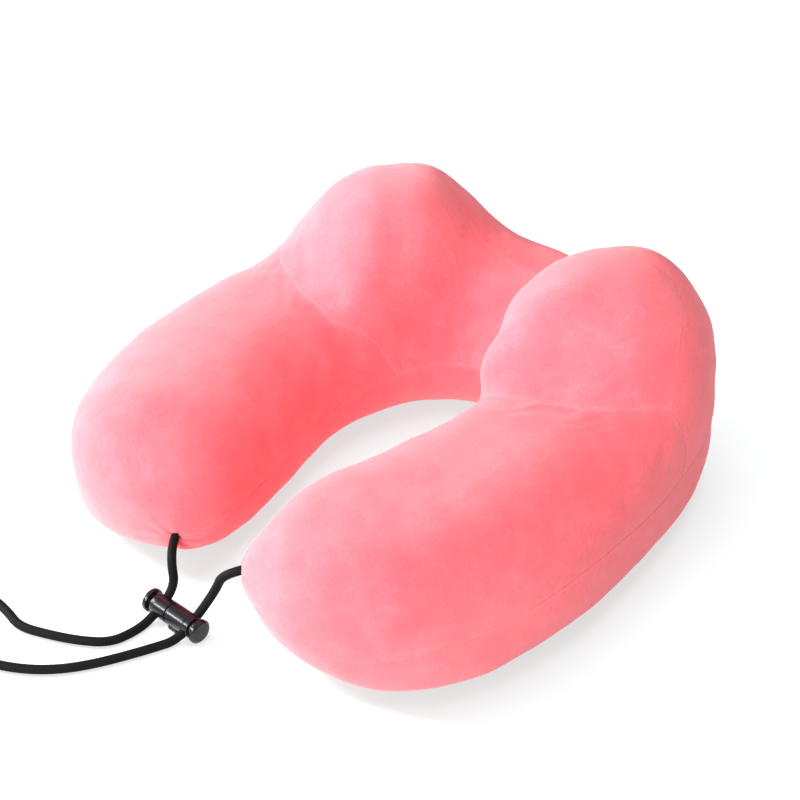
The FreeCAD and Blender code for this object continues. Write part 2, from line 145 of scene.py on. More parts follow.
# ---- drawstring and cord lock ----
CORD_R = 2.2
LOCK_AT = (-5.5, -162.0, 6.1)
LOCK_TILT = 28.0
LOCK_HALF = 13.2
LOCK_R = 5.7
HOLE_AT = 10.3
HOLE_R = 2.6
BUTTON_R = 6.1
BUTTON_T = 3.0
BUTTON_GAP = 2.2            # from the barrel's end to a cap, at rest
STEM_R = 4.12
BUTTON_TRAVEL = 2.0
PLUNGER_SEAT = 2.5          # length of a plunger inboard of the cord
BORE_GAP = 0.12             # clearance round a plunger's stem
SLOT_GAP = 0.1              # clearance round the cord in a plunger's slot
GROOVE = (-2.95, -1.95)     # turned groove round the barrel
GROOVE_DEPTH = 0.9
LATCH = ((0.4, -4.7, -1.35), (6.8, -4.7, -1.35), 2.4)   # raised rib: its ends and radius
EDGE_BEVEL = 0.12
SPRING_END = 5.6            # from the spring's middle to the plunger that it pushes
SPRING_COIL_R = 2.9
SPRING_WIRE_R = 0.35
SPRING_HALF_TURNS = 2.5
SPRING_SPARE = 0.05         # kept free at the plunger
BRAID_CARRIERS = 8          # strands each way round
BRAID_PITCH = 13.0
BRAID_RELIEF = 0.30
BRAID_STEP = 0.26
BRAID_AROUND = 44
ROUTE_IN, ROUTE_OUT = -11.0, 8.5        # the route's points on a hole's axis, past the lock's middle
ROUTE_LEFT = [(-29.6, -135.4, 31.4), (-24.9, -143.6, 30.5), (-19.0, -150.6, 25.0)]
ROUTE_LOOP = [              # on the table, from the left hole round to the right one
    (-15.2, -181), (-18.5, -193), (-31, -202), (-45.5, -209), (-60, -214.5), (-73, -211.5),
    (-88, -210.5), (-101, -213), (-110, -222), (-111, -234), (-102, -243), (-88, -246),
    (-73, -244.5), (-58.5, -241.5), (-44.5, -236.5), (-31.5, -228.5), (-21, -218.5),
    (-13, -207), (-6.5, -195), (-0.5, -182.5),
]
ROUTE_RIGHT = [(7.6, -145.6, 21.0), (12.6, -146.9, 31.0), (20.6, -144.4, 38.0), (26.2, -136.2, 39.0)]

# ---- studio lights: (name, place, aim, size, power), and True where only the table is lit ----
LIGHTS_M = [
    ("key", (-1.35, -0.62, 0.65), (0, 0, 0.05), 0.8, 36.0, False),
    ("front", (0.15, -1.4, 0.85), (0, 0, 0.05), 0.8, 31.5, False),
    ("strip", (-0.86, -1.15, 0.75), (0, -0.15, 0), 0.25, 6.5, False),
    ("top", (0, 0.1, 1.6), (0, 0, 0), 1.0, 4.0, False),
    ("floor_key", (-1.3, -0.5, 0.95), (0, 0, 0), 0.7, 290.0, True),
    ("floor_top", (-0.1, 0.2, 1.5), (0, 0, 0), 1.2, 75.0, True),
]
WORLD_STRENGTH = 0.5
TABLE_GLOW = 0.68
TABLE_REACH = 6000          # from the middle of the table to its sides


# ---------------------------------------------------------------- camera
def make_camera():
    az, el = math.radians(VIEW_AZIMUTH), math.radians(VIEW_ELEVATION)
    back = Vector((math.sin(az) * math.cos(el), -math.cos(az) * math.cos(el), math.sin(el)))
    right = Vector((math.cos(az), math.sin(az), 0))
    up = back.cross(right)
    target = VIEW_TARGET_M + right * VIEW_SHIFT_M[0] + up * VIEW_SHIFT_M[1]
    data = bpy.data.cameras.new("camera")
    data.lens = LENS
    data.sensor_width = SENSOR
    camera = bpy.data.objects.new("camera", data)
    bpy.context.scene.collection.objects.link(camera)
    turn = Matrix((right, up, back)).transposed()
    camera.matrix_world = Matrix.Translation(target + back * VIEW_DISTANCE_M) @ turn.to_4x4()
    bpy.context.scene.camera = camera


# ---------------------------------------------------------------- cover surface
def ring_spline(points):
    """Periodic cubic spline through the points, one parameter unit per point."""
    p = np.array(points, float)
    n = len(p)
    link = np.zeros((n, n))
    for i in range(n):
        link[i, i] = 4
        link[i, (i + 1) % n] = 1
        link[i, i - 1] = 1
    slope = np.linalg.solve(link, 3 * (np.roll(p, -1, 0) - np.roll(p, 1, 0)))

    def value(t):
        t = np.asarray(t, float)
        whole = np.floor(t).astype(int)
        u = (t - whole)[..., None]
        a, b = whole % n, (whole + 1) % n
        return (
            p[a] * (2 * u ** 3 - 3 * u ** 2 + 1) + slope[a] * (u ** 3 - 2 * u ** 2 + u)
            + p[b] * (3 * u ** 2 - 2 * u ** 3) + slope[b] * (u ** 3 - u ** 2)
        )

    return value


def plan_ring():
    half = OUTER + [TIP] + INNER
    return half + [(-x, y) for x, y in reversed(half[1:-1])]


plan = ring_spline(plan_ring())


def smooth_through(pairs, x):
    """Values at x of a smooth line through the pairs."""
    xs = np.array([a for a, _ in pairs], float)
    ys = np.array([b for _, b in pairs], float)
    before = np.maximum(np.arange(len(xs)) - 1, 0)
    after = np.minimum(np.arange(len(xs)) + 1, len(xs) - 1)
    slope = (ys[after] - ys[before]) / (xs[after] - xs[before])
    x = np.asarray(x, float)
    k = np.clip(np.searchsorted(xs, x, side="left"), 1, len(xs) - 1)
    width = xs[k] - xs[k - 1]
    u = np.clip((x - xs[k - 1]) / width, 0, 1)
    start = ys[k - 1] + slope[k - 1] * width * u
    end = ys[k] - slope[k] * width * (1 - u)
    share = u * u * (3 - 2 * u)
    return start * (1 - share) + end * share


def arm_seam(turn):
    return smooth_through(ARM_SEAM, np.degrees(turn))


def ridge_seam(s):
    return np.radians(smooth_through(RIDGE_SEAM, np.abs(s)))


def edge_seam(s):
    return np.radians(smooth_through(EDGE_SEAM, np.abs(s)))


def skin_point(s, turn):
    """Points of the cover's face at stations s (-1 to 1) and section angles turn, 0 at the outer seam."""
    side = np.where(s < 0, -1.0, 1.0)
    a = np.abs(s)
    out, inn = plan(a * SPANS), plan((2 - a) * SPANS)
    seam = SEAM_Z + (TIP_Z - SEAM_Z) * a * a
    nose = np.sin(np.pi / 2 * np.minimum(1.0, (1 - a) / NOSE_SPAN))
    c, d = np.cos(turn), np.sin(turn)
    top = np.where(c >= 0, POWER_TOP_OUT, POWER_TOP_IN)
    under = np.where(c >= 0, POWER_UNDER_OUT, POWER_UNDER_IN)
    power = 2 + (np.where(d >= 0, top, under) - 2) * nose
    size = (np.abs(c) ** power + np.abs(d) ** power) ** (-1 / power)
    rise = HUMP_RISE * np.exp(-np.abs((a - HUMP_S) / HUMP_SPREAD) ** HUMP_POWER)
    roll = TOP_BACK + (TOP_TIP - TOP_BACK) * a + rise
    reach = np.where(d >= 0, roll - seam, seam - UNDER_Z) * nose
    flat = (out + inn) / 2 + (out - inn) / 2 * (size * c)[..., None]
    return np.stack([side * flat[..., 0], flat[..., 1], seam + reach * size * d], -1)


def settled_point(s, turn):
    """The cover's face with the unevenness of real stuffing, which pulls some places in and out."""
    points = skin_point(s, turn)
    moved = points.copy()
    for place, move, reach, both in SETTLED:
        for side in ((1, -1) if both else (1,)):
            at = np.array([side * place[0], place[1], place[2]], float)
            by = np.array([side * move[0], move[1], move[2]], float)
            near = np.exp(-np.sum((points - at) ** 2, -1) / reach ** 2)
            moved += near[..., None] * by
    return moved


def rest_on_table(z):
    """Flattens what would reach below the table, with a soft edge."""
    soft = 0.35
    return soft * np.log1p(np.exp(np.clip(z / soft, -40, 40))) + np.where(z / soft > 40, z - 40 * soft, 0)


# ---------------------------------------------------------------- panel grids
def edge_steps(length, step):
    """Shares of a width from 0 to 1, closer together at the two seams."""
    near = [0.0]
    size = EDGE_CELL
    while size < step and near[-1] < length * 0.4:
        near.append(near[-1] + size)
        size *= EDGE_GROWTH
    middle = length - 2 * near[-1]
    count = max(2, int(round(middle / step)))
    inside = [near[-1] + middle * k / count for k in range(1, count)]
    far = [length - d for d in reversed(near)]
    return np.array(near + inside + far) / length


def settle(first, follow, rounds=6):
    """The value that follow gives back unchanged, found by repeating it from first."""
    value = first
    for _ in range(rounds):
        value = follow(value)
    return value


def arm_grid(side, rows, columns):
    u, v = rows[:, None], columns[None, :]

    def station(turn):
        seam = arm_seam(turn)
        return seam + (TIP_END - seam) * u

    low = settle(np.zeros_like(u), lambda turn: edge_seam(station(turn)))
    turn = low + (np.pi - low) * v
    return side * station(turn), turn


def head_grid(outer, rows, columns):
    share, v = 2 * rows[:, None] - 1, columns[None, :]

    def station(turn):
        return share * arm_seam(turn)

    ridge = settle(np.full_like(share, np.pi / 4), lambda turn: ridge_seam(station(turn)))
    low = settle(np.zeros_like(share), lambda turn: edge_seam(station(turn)))
    if outer:
        gap = zip_angle(station(low), True)
        turn = low + gap + (ridge - low - gap) * v
    else:
        turn = ridge + (np.pi - ridge) * v
    return station(turn), turn


def under_grid(rows, columns):
    s, v = (2 * rows[:, None] - 1) * TIP_END, columns[None, :]
    last = 2 * np.pi + edge_seam(s) - zip_angle(s, False)
    turn = np.pi + (last - np.pi) * v
    return s + 0 * v, turn


def zip_angle(s, above):
    """Section angle by which the cover stands back from the zip, which lies across the back only."""
    x = np.abs(plan(np.abs(s) * SPANS)[..., 0])
    at_back = np.abs(s) < 0.5
    open_share = np.clip((ZIP_HALF_LENGTH + ZIP_CLEAR - x) / ZIP_CLOSE, 0, 1) * at_back
    open_share = open_share * open_share * (3 - 2 * open_share)
    reach = (TOP_BACK - SEAM_Z) if above else (SEAM_Z - UNDER_Z)
    return ZIP_GAP / reach * open_share


def waves(points, length, count, seed):
    """Smooth seeded unevenness over the points, with features about length across."""
    rng = np.random.default_rng(seed)
    total = np.zeros(points.shape[:-1])
    for _ in range(count):
        direction = rng.normal(size=3)
        direction /= np.linalg.norm(direction)
        k = 2 * np.pi / (length * rng.uniform(0.7, 1.5))
        total += np.sin(points @ direction * k + rng.uniform(0, 2 * np.pi))
    return total / math.sqrt(count)


def grid_normals(points):
    along = np.gradient(points, axis=0)
    around = np.gradient(points, axis=1)
    normal = np.cross(along, around)
    return normal / np.maximum(np.linalg.norm(normal, axis=-1, keepdims=True), 1e-9)


def run_lengths(points, axis):
    """Distance travelled along each grid line, from its first point."""
    step = np.linalg.norm(np.diff(points, axis=axis), axis=-1)
    pad = [(0, 0), (0, 0)]
    pad[axis] = (1, 0)
    return np.cumsum(np.pad(step, pad), axis=axis)


def picked_lines(place, cell):
    """Indices of the grid lines that lie about a cell apart, with the first and the last."""
    count = max(3, int(round(place[-1] / cell)))
    wanted = np.linspace(0, place[-1], count + 1)
    return np.unique(np.clip(np.searchsorted(place, wanted), 0, len(place) - 1))


def cubic_along(values, place):
    """Smooth values at fractional places along the first axis of a grid."""
    last = len(values) - 1
    k = np.clip(np.floor(place).astype(int), 0, last - 1)
    u = (place - k)[:, None, None]
    a, b = values[np.maximum(k - 1, 0)], values[k]
    c, d = values[k + 1], values[np.minimum(k + 2, last)]
    return b + u / 2 * ((c - a) + u * ((2 * a - 5 * b + 4 * c - d) + u * (3 * b - a - 3 * c + d)))


def stuffed(base, outward):
    """Cloth simulation of a sewn panel: its seams are held while the stuffing presses it out."""
    row_place, column_place = run_lengths(base, 0).mean(1), run_lengths(base, 1).mean(0)
    rows, columns = picked_lines(row_place, PUFF_CELL), picked_lines(column_place, PUFF_CELL)
    coarse = base[np.ix_(rows, columns)]
    n, m = coarse.shape[:2]
    sheet = mesh_object("cloth_run", coarse.reshape(-1, 3), grid_faces(n, m, 0, outward > 0))
    pins = sheet.vertex_groups.new(name="seams")
    border = [i * m + j for i in range(n) for j in range(m) if i in (0, n - 1) or j in (0, m - 1)]
    pins.add(border, 1.0, "REPLACE")
    cloth = sheet.modifiers.new("cloth", "CLOTH")
    cloth.settings.quality = 6
    cloth.settings.mass = 0.2
    cloth.settings.bending_stiffness = 0.3
    cloth.settings.vertex_group_mass = "seams"
    cloth.settings.shrink_min = -0.001
    cloth.settings.use_pressure = True
    cloth.settings.uniform_pressure_force = 4.0
    cloth.settings.effector_weights.gravity = 0.0
    cloth.point_cache.frame_start = 1
    cloth.point_cache.frame_end = PUFF_FRAMES
    for number in range(1, PUFF_FRAMES + 1):
        bpy.context.scene.frame_set(number)
    mesh = bpy.data.meshes.new_from_object(sheet.evaluated_get(bpy.context.evaluated_depsgraph_get()))
    moved = np.array([v.co for v in mesh.vertices], float).reshape(n, m, 3) / MM - coarse
    bpy.context.scene.frame_set(1)
    bpy.data.objects.remove(sheet)
    bpy.data.meshes.remove(mesh)
    size = np.maximum(np.linalg.norm(moved, axis=-1, keepdims=True), 1e-9)
    moved = moved * PUFF_CAP * np.tanh(size / PUFF_CAP) / size
    moved = cubic_along(moved, np.interp(row_place, row_place[rows], np.arange(n)))
    place = np.interp(column_place, column_place[columns], np.arange(m))
    across = cubic_along(moved.transpose(1, 0, 2), place)
    return across.transpose(1, 0, 2)


def seam_form(distance, travel, seed):
    """How far a seam takes the cover in, with the small puckers its stitches draw."""
    rng = np.random.default_rng(seed)
    inside = np.clip(1 - distance / SEAM_ROUND, 0, 1)
    fold = SEAM_ROUND * (1 - np.sqrt(1 - inside ** 2))
    dip = SEAM_DIP * np.exp(-(distance / SEAM_DIP_W) ** 2)
    pucker = np.zeros_like(distance)
    for length in PUCKERS:
        phase = rng.uniform(0, 2 * np.pi)
        wander = 0.8 * np.sin(2 * np.pi * travel / (length * 5.3) + phase * 3)
        height = math.sqrt(length) * PUCKER_HEIGHT
        pucker += np.sin(2 * np.pi * travel / length + phase + wander) * height
    patch = 0.55 + 0.45 * np.sin(2 * np.pi * travel / PUCKER_PATCH + rng.uniform(0, 6))
    near = distance / PUCKER_REACH * np.exp(1 - distance / PUCKER_REACH)
    return fold + dip + pucker * near * patch


def gathered(points):
    """How far the cover is drawn in round the drawstring's exits, with folds running out from them."""
    total = np.zeros(points.shape[:-1])
    for place in CORD_EXITS:
        offset = points - np.array(place)
        distance = np.linalg.norm(offset, axis=-1)
        angle = np.arctan2(offset[..., 2], offset[..., 0])
        folds = np.sin(GATHER_FOLDS * angle + 1.3 * np.sin(2 * angle) + place[2])
        share = distance / GATHER_REACH
        total += GATHER_HEIGHT * folds * share * np.exp(1 - share)
        total += GATHER_DIP * np.exp(-(distance / GATHER_DIP_W) ** 2)
    return total


def panel_points(s, turn, seams, seed):
    """A sewn panel's face, drawn in at its seams: points, normals, distance to a seam, outward sign."""
    base = settled_point(s, turn)
    normal = grid_normals(base)
    middle = (skin_point(s, np.zeros_like(turn)) + skin_point(s, np.full_like(turn, np.pi))) / 2
    outward = np.sign(np.sum(normal * (base - middle), -1).mean())
    base = base + stuffed(base, outward)
    normal = grid_normals(base) * outward
    across, along = run_lengths(base, 1), run_lengths(base, 0)
    sink = np.zeros(s.shape)
    nearest = np.full(s.shape, 1e3)
    for k, name in enumerate(seams):
        distance, travel = {
            "first_column": (across, along),
            "last_column": (across[:, -1:] - across, along),
            "first_row": (along, across),
            "last_row": (along[-1:] - along, across),
        }[name]
        sink = np.maximum(sink, seam_form(distance, travel, seed * 10 + k))
        nearest = np.minimum(nearest, distance)
    for height, length, count, draw, grow in UNEVEN:
        grown = 1 - np.exp(-(nearest / grow) ** 2) if grow else 1
        sink -= height * waves(base, length, count, draw) * grown
    sink += gathered(base)
    points = base - normal * sink[..., None]
    points[..., 2] = rest_on_table(points[..., 2])
    return points, normal, nearest, outward


# ---------------------------------------------------------------- meshes
def mesh_object(name, vertices_mm, faces):
    mesh = bpy.data.meshes.new(name)
    mesh.from_pydata((np.asarray(vertices_mm) * MM).tolist(), [], faces)
    mesh.update()
    mesh.polygons.foreach_set("use_smooth", [True] * len(mesh.polygons))
    obj = bpy.data.objects.new(name, mesh)
    bpy.context.scene.collection.objects.link(obj)
    return obj


def grid_faces(rows, columns, start, flip):
    i, j = np.meshgrid(np.arange(rows - 1), np.arange(columns - 1), indexing="ij")
    a = start + i * columns + j
    quads = np.stack([a, a + 1, a + columns + 1, a + columns], -1).reshape(-1, 4)
    return (quads[:, ::-1] if flip else quads).tolist()


def shell_object(name, face_points, normal, outward, nearest, thickness):
    """Closed sheet of cloth from the grid of its face."""
    rows, columns = face_points.shape[:2]
    lining = face_points - normal * thickness
    lining[..., 2] = np.maximum(lining[..., 2], 0.4)
    vertices = np.concatenate([face_points.reshape(-1, 3), lining.reshape(-1, 3)])
    count = rows * columns
    flip = outward > 0
    faces = grid_faces(rows, columns, 0, flip) + grid_faces(rows, columns, count, not flip)
    border = list(range(columns))
    border += [i * columns + columns - 1 for i in range(1, rows)]
    border += [(rows - 1) * columns + j for j in range(columns - 2, -1, -1)]
    border += [i * columns for i in range(rows - 2, 0, -1)]
    for a, b in zip(border, border[1:] + border[:1]):
        quad = [b, a, a + count, b + count]
        faces.append(quad[::-1] if flip else quad)
    obj = mesh_object(name, vertices, faces)
    # The seam attribute, highest at a seam, drives the painted sheen line along it.
    near = np.exp(-(nearest / SEAM_SHEEN_W) ** 2).reshape(-1)
    layer = obj.data.attributes.new("seam", "FLOAT", "POINT")
    layer.data.foreach_set("value", np.concatenate([near, near]).astype(np.float32))
    return obj


def make_panel(name, node, grid, seams, seed, material):
    s, turn = grid
    points, normal, nearest, outward = panel_points(s, turn, seams, seed)
    obj = shell_object(name, points, normal, outward, nearest, COVER_T)
    obj.data.materials.append(material)
    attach(obj, "pillow")
    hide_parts(node)


def make_cover(material, head_material):
    """The five sewn panels. Rows run along the pillow and crowd together at the arm tips and seams."""
    arm_rows = np.concatenate([edge_steps(150, 1.3)[:-14], np.linspace(0.93, 1, 24)])
    arm_rows = np.unique(np.round(arm_rows, 6))
    arm_columns = edge_steps(210, 1.4)
    head_rows = edge_steps(380, 1.4)
    three = ["first_row", "first_column", "last_column"]
    every = three + ["last_row"]
    for side, word, seed in ((-1, "left", 11), (1, "right", 12)):
        grid = arm_grid(side, arm_rows, arm_columns)
        make_panel("velour_arm_" + word, "arm_panel_" + word, grid, three, seed, material)
    grid = head_grid(False, head_rows, edge_steps(150, 1.4))
    make_panel("velour_head_rests", "head_rest_inner_panel", grid, every, 13, head_material)
    grid = head_grid(True, head_rows, edge_steps(100, 1.4))
    make_panel("velour_outer_band", "outer_band_panel", grid, every, 14, material)
    under_rows = np.unique(np.round(np.concatenate([
        np.linspace(0, 0.03, 20), np.linspace(0.03, 0.97, 330), np.linspace(0.97, 1, 20)]), 6))
    grid = under_grid(under_rows, edge_steps(150, 1.8))
    make_panel("velour_underside", "bottom_panel", grid, ["first_column", "last_column"], 15, material)


def make_layer(name, node, depth, end, material):
    """Closed soft body inside the cover, at one depth below its face."""
    rows = np.linspace(-end, end, LAYER_ROWS)[:, None]
    columns = np.linspace(0, 2 * np.pi, LAYER_COLUMNS, endpoint=False)[None, :]
    s, turn = rows + 0 * columns, columns + 0 * rows
    base = settled_point(s, turn)
    wrapped = np.concatenate([base[:, -1:], base, base[:, :1]], 1)
    normal = grid_normals(wrapped)[:, 1:-1]
    middle = base.mean(1, keepdims=True)
    normal *= np.sign(np.sum(normal * (base - middle), -1).mean())
    points = base - normal * (depth + 0.35 * waves(base, 9.0, 10, 31))[..., None]
    points[..., 2] = np.maximum(points[..., 2], depth)
    obj = mesh_object(name, points.reshape(-1, 3), tube_faces(*points.shape[:2]))
    obj.data.materials.append(material)
    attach(obj, "pillow")
    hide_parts(node)


# ---------------------------------------------------------------- cord lock
def lock_place(points):
    """Takes points from the lock's own axes, with X along the barrel, to where it lies."""
    tilt = math.radians(LOCK_TILT)
    x, y, z = points[..., 0], points[..., 1], points[..., 2]
    c, s = math.cos(tilt), math.sin(tilt)
    turned = np.stack([x, y * c - z * s, y * s + z * c], -1)
    return turned + np.array(LOCK_AT)


def rounded_profile(corners, steps=5):
    """(x, radius) line through the corners, each turned with its own rounding radius."""
    line = []
    for k, (x, r, rounding) in enumerate(corners):
        here = np.array([x, r], float)
        if rounding == 0 or k in (0, len(corners) - 1):
            line.append(here)
            continue
        before = np.array(corners[k - 1][:2], float) - here
        after = np.array(corners[k + 1][:2], float) - here
        before, after = before / np.linalg.norm(before), after / np.linalg.norm(after)
        half = math.acos(np.clip(np.dot(before, after), -1, 1)) / 2
        cut = rounding / math.tan(half)
        start, end = here + before * cut, here + after * cut
        for step in range(steps + 1):
            u = step / steps
            line.append((1 - u) ** 2 * start + 2 * u * (1 - u) * here + u * u * end)
    return np.array(line)


def split_long(line, longest):
    """The same line with extra points, so that no step is longer than longest."""
    points = [line[0]]
    for a, b in zip(line[:-1], line[1:]):
        count = max(1, math.ceil(np.linalg.norm(b - a) / longest))
        points += [a + (b - a) * k / count for k in range(1, count + 1)]
    return np.array(points)


def lathe(name, profile, around=72):
    """Turned piece about the barrel's axis, closed at both ends of its profile."""
    profile = split_long(profile, 1.0)
    angle = 2 * np.pi * np.arange(around) / around
    x = profile[:, :1] + 0 * angle[None, :]
    ring = np.stack([x, profile[:, 1:] * np.cos(angle), profile[:, 1:] * np.sin(angle)], -1)
    faces = tube_faces(len(profile), around, flip=True)
    return mesh_object(name, lock_place(ring).reshape(-1, 3), faces)


def tube_faces(rows, around, flip=False):
    """Faces of a round closed tube whose points come ring by ring, with both ends shut."""
    i, j = np.meshgrid(np.arange(rows - 1), np.arange(around), indexing="ij")
    nxt = (j + 1) % around
    quads = [i * around + j, i * around + nxt, (i + 1) * around + nxt, (i + 1) * around + j]
    first = list(range(around))
    last = [(rows - 1) * around + k for k in range(around)]
    if flip:
        quads = [quads[k] for k in (0, 3, 2, 1)]
        last = last[::-1]
    else:
        first = first[::-1]
    return np.stack(quads, -1).reshape(-1, 4).tolist() + [first, last]


def combine(obj, tool, operation):
    """Joins the tool's shape to obj or cuts it away, and removes the tool."""
    change = obj.modifiers.new("combine", "BOOLEAN")
    change.operation = operation
    change.solver = "EXACT"
    change.object = tool
    apply_modifiers(obj)
    bpy.data.objects.remove(tool)


def apply_modifiers(obj):
    bpy.context.view_layer.update()
    mesh = bpy.data.meshes.new_from_object(obj.evaluated_get(bpy.context.evaluated_depsgraph_get()))
    obj.modifiers.clear()
    obj.data = mesh


def rod(name, start, end, radius, around=40, rounding=0.0):
    """Round rod between two points given in the lock's own axes."""
    start, end = np.array(start, float), np.array(end, float)
    along = end - start
    length = np.linalg.norm(along)
    along = along / length
    first = np.cross(along, [0.0, 0.0, 1.0] if abs(along[2]) < 0.9 else [1.0, 0, 0])
    first /= np.linalg.norm(first)
    second = np.cross(along, first)
    profile = rounded_profile([
        (0, 0, 0), (0, radius, rounding), (length, radius, rounding), (length, 0, 0)])[1:-1]
    angle = 2 * np.pi * np.arange(around) / around
    ring = (
        start + along * profile[:, None, :1]
        + first * (profile[:, None, 1:] * np.cos(angle)[None, :, None])
        + second * (profile[:, None, 1:] * np.sin(angle)[None, :, None])
    )
    return mesh_object(name, lock_place(ring).reshape(-1, 3), tube_faces(len(profile), around))


def finish_lock_piece(obj, node, body, material):
    obj.data.materials.clear()
    obj.data.materials.append(material)
    edge = obj.modifiers.new("edges", "BEVEL")
    edge.width = EDGE_BEVEL * MM
    edge.segments = 2
    edge.limit_method = "ANGLE"
    edge.angle_limit = math.radians(40)
    edge.harden_normals = True
    apply_modifiers(obj)
    obj.data.set_sharp_from_angle(angle=math.radians(35))
    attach(obj, body)
    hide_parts(node)


def make_spring(side, word, material):
    """Half of the spring, from its middle to one plunger."""
    count, around = 150, 12
    share = np.linspace(0, 1, count)
    reach = SPRING_END - SPRING_WIRE_R - SPRING_SPARE
    angle = 2 * np.pi * SPRING_HALF_TURNS * share
    line = np.stack([
        side * reach * share, SPRING_COIL_R * np.cos(angle), SPRING_COIL_R * np.sin(angle)], 1)
    first, second = carried_frames(line)
    round_wire = 2 * np.pi * np.arange(around) / around
    ring = line[:, None] + SPRING_WIRE_R * (
        first[:, None] * np.cos(round_wire)[None, :, None]
        + second[:, None] * np.sin(round_wire)[None, :, None])
    obj = mesh_object("lock_spring_" + word, lock_place(ring).reshape(-1, 3), tube_faces(count, around))
    obj.data.materials.append(material)
    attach(obj, "pillow")
    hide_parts("cord_lock_spring")
    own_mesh(obj)


def make_lock(material):
    """Barrel with its bore and cord holes, and the two slotted plungers with their domed caps."""
    h, r = LOCK_HALF, LOCK_R
    inner = STEM_R + BORE_GAP
    start, end = GROOVE
    low = r - GROOVE_DEPTH
    barrel = lathe("lock_barrel", rounded_profile([
        (-h, inner, 0), (-h, r - 0.25, 0.5), (-h + 2.2, r - 0.1, 0.3), (start, r - 0.1, 0.1),
        (start + 0.1, low, 0.1), (end - 0.1, low, 0.1), (end, r, 0.1), (h - 3.6, r + 0.02, 0.3),
        (h - 3.2, r - 0.3, 0.15), (h - 0.1, r - 0.3, 0.5), (h, inner, 0),
    ]))
    combine(barrel, rod("latch", *LATCH, rounding=0.7), "UNION")
    combine(barrel, rod("bore", (-h - 2, 0, 0), (h + 2, 0, 0), inner, around=72), "DIFFERENCE")
    for x in (-HOLE_AT, HOLE_AT):
        combine(barrel, rod("hole", (x, -12, 0), (x, 12, 0), HOLE_R), "DIFFERENCE")
    finish_lock_piece(barrel, "cord_lock_barrel", "pillow", material)
    for side, word in ((-1, "left"), (1, "right")):
        seat = HOLE_AT - CORD_R - PLUNGER_SEAT
        neck, end = h + BUTTON_GAP, h + BUTTON_GAP + BUTTON_T
        corners = [
            (seat, 1.6, 0), (seat, STEM_R, 0.3), (neck, STEM_R, 0), (neck, BUTTON_R - 0.25, 0.3),
            (neck + 0.5, BUTTON_R, 0.3), (end - 0.9, BUTTON_R, 0.5), (end, BUTTON_R - 1.1, 0.9),
            (end + 0.15, BUTTON_R - 3.0, 0.0), (end + 0.22, 0.4, 0),
        ]
        profile = rounded_profile(corners, 7) * np.array([side, 1.0])
        cap = lathe("lock_cap_" + word, profile)
        if side < 0:
            cap.data.flip_normals()
        for x in (HOLE_AT, HOLE_AT + BUTTON_TRAVEL):
            slot = rod("slot", (side * x, -12, 0), (side * x, 12, 0), CORD_R + SLOT_GAP)
            combine(cap, slot, "DIFFERENCE")
        finish_lock_piece(cap, "cord_lock_button_" + word, "lock_button_" + word, material)


# ---------------------------------------------------------------- materials
def new_material(name):
    """A new material with its node tree, its shader and the place on the object that it colours."""
    material = bpy.data.materials.new(name)
    material.use_nodes = True
    tree = material.node_tree
    place = tree.nodes.new("ShaderNodeTexCoord").outputs["Object"]
    return material, tree, tree.nodes["Principled BSDF"], place


def add(tree, kind, **values):
    node = tree.nodes.new(kind)
    for key, value in values.items():
        if key.startswith("_"):
            node.inputs[key[1:].replace("_", " ")].default_value = value
        else:
            setattr(node, key, value)
    return node


def link(tree, a, b):
    tree.links.new(a, b)


def noise(tree, coordinate, scale, detail=2.0, rough=0.5, distortion=0.0):
    node = add(tree, "ShaderNodeTexNoise", _Scale=scale, _Detail=detail, _Roughness=rough,
               _Distortion=distortion)
    link(tree, coordinate, node.inputs["Vector"])
    return node.outputs["Fac"]


def ramp(tree, factor, stops):
    node = tree.nodes.new("ShaderNodeValToRGB")
    link(tree, factor, node.inputs["Fac"])
    while len(node.color_ramp.elements) < len(stops):
        node.color_ramp.elements.new(0.5)
    for element, (place, colour) in zip(node.color_ramp.elements, stops):
        element.position = place
        element.color = (*colour, 1.0)
    return node.outputs["Color"]


def multiplied(tree, a, b):
    """Colour a times colour b."""
    node = add(tree, "ShaderNodeMix", data_type="RGBA", blend_type="MULTIPLY")
    node.inputs[0].default_value = 1.0
    link(tree, a, node.inputs[6])
    link(tree, b, node.inputs[7])
    return node.outputs[2]


def maths(tree, operation, a, b):
    node = tree.nodes.new("ShaderNodeMath")
    node.operation = operation
    for socket, value in zip(node.inputs, (a, b)):
        if isinstance(value, bpy.types.NodeSocket):
            link(tree, value, socket)
        else:
            socket.default_value = value
    return node.outputs[0]


def bump(tree, shader, height, distance_m, strength, before=None):
    node = add(tree, "ShaderNodeBump", _Strength=strength, _Distance=distance_m)
    link(tree, height, node.inputs["Height"])
    if before is not None:
        link(tree, before, node.inputs["Normal"])
    link(tree, node.outputs["Normal"], shader.inputs["Normal"])
    return node.outputs["Normal"]


